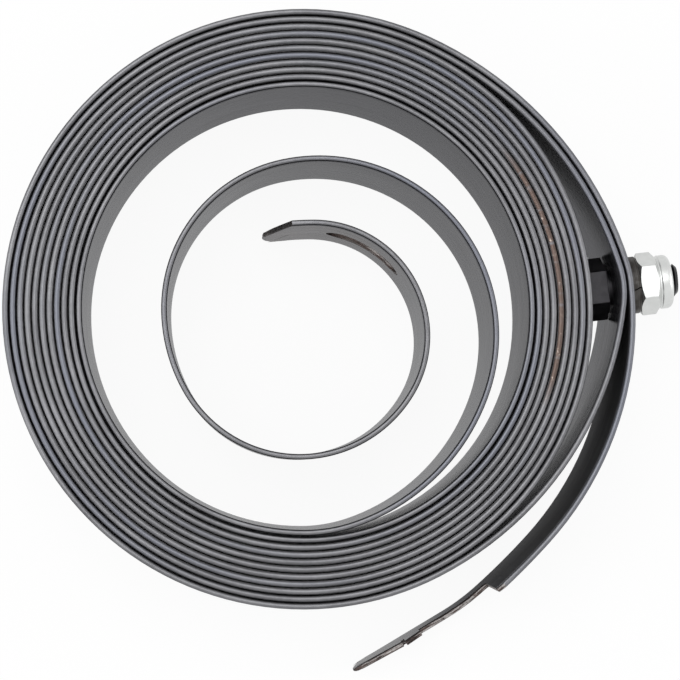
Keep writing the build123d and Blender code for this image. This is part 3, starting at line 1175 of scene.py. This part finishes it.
washerLook = {
    "patchNoise": (300.0, 5.0, 0.6),
    "lineScale": 3.2,                         # turning lines, by the distance along the bolt
    "lineNoise": (1.0, 3.0, 0.6),
    "patchShare": 0.5,
    "toneRange": (0.42, 0.56),
    "outerShare": 0.4,                        # the lock washer is darker than the flat one
    "outerFade": 0.1,
    "dark": (0.026, 0.022, 0.020, 1),
    "pale": (0.17, 0.167, 0.16, 1),
    "grainNoise": (1100.0, 4.0, 0.55),
    "metallic": 0.8,
    "roughness": (0.5, 0.34),
    "bump": (0.25, 0.0002),
}


def finishWasherSteel():
    look = washerLook
    tree, shader = startFinish("washerSteel")
    place = objectPlace(tree)
    reach = alongBolt(tree, place)
    patches = noiseOn(tree, place, *look["patchNoise"])
    lines = noiseOn(tree, stretched(tree, (reach, look["lineScale"])), *look["lineNoise"])
    tone = plus(tree, times(tree, patches, look["patchShare"]), times(tree, lines, 1 - look["patchShare"]))
    outer = ranged(tree, reach, lockWasherSeat - look["outerFade"], lockWasherSeat + look["outerFade"],
                   1.0, look["outerShare"])
    tone = times(tree, ranged(tree, tone, *look["toneRange"]), outer)
    colour = colourMix(tree, tone, look["dark"], look["pale"])
    dress(tree, shader, colour, ranged(tree, patches, *noiseSpread, *look["roughness"]), look["metallic"])
    bumpInto(tree, shader, noiseOn(tree, place, *look["grainNoise"]), *look["bump"])


boltLook = {
    "patchNoise": (500.0, 4.0, 0.55),
    "patchRange": (0.35, 0.65),
    "dark": (0.032, 0.031, 0.034, 1),
    "pale": (0.056, 0.054, 0.059, 1),
    "endDirtAndShadeTone": (0.012, 0.012, 0.013, 1),
    "endDirtAndShadeFrom": (10.0, 12.0),
    "endDirtAndShadeShare": 0.85,
    "metallic": 0.7,
    "roughness": (0.36, 0.5),
    "bump": (0.10, 0.0001),
}


def finishBoltSteel():
    look = boltLook
    tree, shader = startFinish("boltSteel")
    place = objectPlace(tree)
    patches = noiseOn(tree, place, *look["patchNoise"])
    colour = colourMix(tree, ranged(tree, patches, *look["patchRange"]), look["dark"], look["pale"])
    # the threaded end darkens out along the bolt: partly dirt, partly painted shade of the thread's grooves
    endDirtAndShade = times(tree, ranged(tree, alongBolt(tree, place), *look["endDirtAndShadeFrom"]), look["endDirtAndShadeShare"])
    colour = colourMix(tree, endDirtAndShade, colour, look["endDirtAndShadeTone"])
    dress(tree, shader, colour, ranged(tree, patches, *noiseSpread, *look["roughness"]), look["metallic"])
    bumpInto(tree, shader, patches, *look["bump"])


nylonLook = {
    "grainNoise": (1200.0, 3.0, 0.55),
    "dark": (0.016, 0.016, 0.017, 1),
    "pale": (0.03, 0.03, 0.032, 1),
    "roughness": (0.42, 0.55),
    "bump": (0.1, 0.0001),
}


def finishBlackNylon():
    look = nylonLook
    tree, shader = startFinish("blackNylon")
    grain = noiseOn(tree, objectPlace(tree), *look["grainNoise"])
    colour = colourMix(tree, grain, look["dark"], look["pale"])
    dress(tree, shader, colour, ranged(tree, grain, *noiseSpread, *look["roughness"]))
    bumpInto(tree, shader, grain, *look["bump"])


# the stage: a white floor and backdrop, soft lamps, and the camera above the coil

stage = {
    "floorSize": 6.0,
    "floorColour": (0.86, 0.86, 0.86, 1),
    "whiteShare": 0.93,       # how much of the floor the camera sees as plain white
    "worldStrength": 0.55,
    "cameraPlace": (-0.0144, -0.0353, 0.5645),
    "cameraAim": (0.0081, -0.00714, 0.035),
    "cameraLens": 122.5,
    "clipStart": 0.01,
}
lamps = {
    "overhead": {"place": (-0.25, 0.35, 1.30), "size": 0.9, "power": 9.0},
    "leftFill": {"place": (-1.20, -0.20, 0.70), "size": 0.9, "power": 6.0},
    "rightFill": {"place": (1.20, 0.10, 0.60), "size": 0.8, "power": 4.0},
}


def whiteToCamera(tree):
    # 1 for rays that look at the background, by eye or in a reflection
    rays = addNode(tree, "ShaderNodeLightPath")
    seen = mathNode(tree, "MAXIMUM", rays.outputs["Is Camera Ray"], rays.outputs["Is Glossy Ray"])
    return mathNode(tree, "MAXIMUM", seen, rays.outputs["Is Transmission Ray"])


def makeFloor():
    half = stage["floorSize"] / 2
    mesh = bpy.data.meshes.new("floor")
    corners = [(-half, -half, 0), (half, -half, 0), (half, half, 0), (-half, half, 0)]
    mesh.from_pydata(corners, [], [(0, 1, 2, 3)])
    floor = newObject("floor", mesh)
    finish = bpy.data.materials.new("whiteFloor")
    finish.use_nodes = True
    tree = finish.node_tree
    tree.nodes.clear()
    paper = addNode(tree, "ShaderNodeBsdfDiffuse", None, {"Color": stage["floorColour"]})
    glow = addNode(tree, "ShaderNodeEmission", None, {"Color": (1, 1, 1, 1), "Strength": 1.0})
    mix = addNode(tree, "ShaderNodeMixShader")
    output = addNode(tree, "ShaderNodeOutputMaterial")
    share = times(tree, whiteToCamera(tree), stage["whiteShare"])
    joinNodes(tree, (share, mix.inputs["Fac"]), (paper.outputs["BSDF"], mix.inputs[1]),
              (glow.outputs["Emission"], mix.inputs[2]), (mix.outputs["Shader"], output.inputs["Surface"]))
    setMaterials(floor, finish)


def makeWorld():
    world = bpy.data.worlds.new("studio")
    bpy.context.scene.world = world
    world.use_nodes = True
    tree = world.node_tree
    back = next(node for node in tree.nodes if node.type == "BACKGROUND")
    back.inputs["Color"].default_value = (1, 1, 1, 1)
    lit = stage["worldStrength"]
    strength = mathNode(tree, "MULTIPLY_ADD", whiteToCamera(tree), 1 - lit, lit)
    joinNodes(tree, (strength, back.inputs["Strength"]))


def makeLamps():
    for name, lamp in lamps.items():
        light = bpy.data.lights.new(name, "AREA")
        light.size = lamp["size"]
        light.energy = lamp["power"]
        made = bpy.data.objects.new(name, light)
        bpy.context.scene.collection.objects.link(made)
        made.location = lamp["place"]
        made.rotation_euler = (-Vector(lamp["place"])).to_track_quat("-Z", "Y").to_euler()


def makeCamera():
    camera = bpy.data.cameras.new("camera")
    camera.lens = stage["cameraLens"]
    camera.clip_start = stage["clipStart"]
    made = bpy.data.objects.new("camera", camera)
    bpy.context.scene.collection.objects.link(made)
    place = Vector(stage["cameraPlace"])
    back = (place - Vector(stage["cameraAim"])).normalized()
    right = Vector((0, 1, 0)).cross(back).normalized()  # keeps the picture's upright along the object's Y
    turn = Matrix((right, back.cross(right), back)).transposed()
    made.matrix_world = Matrix.Translation(place) @ turn.to_4x4()
    bpy.context.scene.camera = made


finishSpringSteel()
finishShearedSteel()
finishZincPlate()
finishWasherSteel()
finishBoltSteel()
finishBlackNylon()
print("finishes made:", len(material))

makeSpringStrip()
makeHexBolt()
makeFlatWasher()
makeLockWasher()
makeLockNut()
makeNylonInsert()
print("pieces made")

makeFloor()
makeWorld()
makeLamps()
makeCamera()
bpy.context.scene.view_settings.view_transform = "Standard"
print("stage set")
